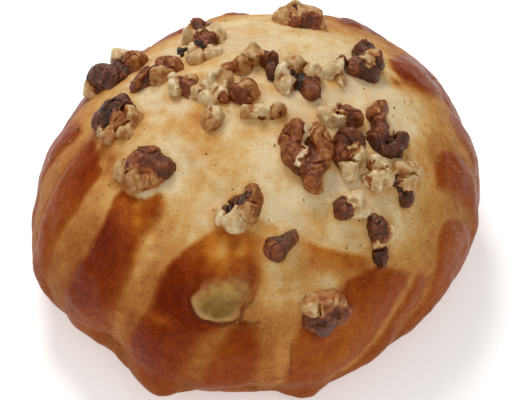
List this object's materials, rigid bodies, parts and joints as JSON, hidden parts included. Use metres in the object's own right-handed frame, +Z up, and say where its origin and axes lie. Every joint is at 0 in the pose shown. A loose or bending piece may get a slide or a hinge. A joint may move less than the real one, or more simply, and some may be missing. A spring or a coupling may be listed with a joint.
{
  "type": "raisin nut bread",
  "caption": "Round bread roll with a pale crown, browned tongues of crust down its flank and broken walnut kernels baked onto the top.",
  "frame": {"origin": "centre of the loaf's plan on its flat base", "axes": "+Z up from the base, -Y towards the pictured front, +X to the viewer's right"},
  "size_m": [0.131, 0.1386, 0.0725],
  "materials": {
    "crust": "baked crust, satin; stands in for bread",
    "walnut_pale": "broken ivory kernel flesh, satin",
    "walnut_brown": "toasted kernel skin, satin",
    "walnut_dark": "deeply toasted kernel skin, satin"
  },
  "bodies": {
    "root": {"loaf": "crust", "walnut_01": "walnut_brown", "walnut_02": "walnut_brown", "walnut_03": "walnut_dark", "walnut_04": "walnut_brown", "walnut_05": "walnut_pale", "walnut_06": "walnut_pale", "walnut_07": "walnut_brown", "walnut_08": "walnut_brown", "walnut_09": "walnut_pale", "walnut_10": "walnut_pale", "walnut_11": "walnut_dark", "walnut_12": "walnut_brown", "walnut_13": "walnut_pale", "walnut_14": "walnut_brown", "walnut_15": "walnut_brown", "walnut_16": "walnut_dark", "walnut_17": "walnut_dark", "walnut_18": "walnut_pale", "walnut_19": "walnut_pale", "walnut_20": "walnut_pale", "walnut_21": "walnut_dark", "walnut_22": "walnut_dark", "walnut_23": "walnut_pale", "walnut_24": "walnut_brown", "walnut_25": "walnut_brown", "walnut_26": "walnut_dark", "walnut_27": "walnut_brown", "walnut_28": "walnut_pale"}
  },
  "joints": []
}
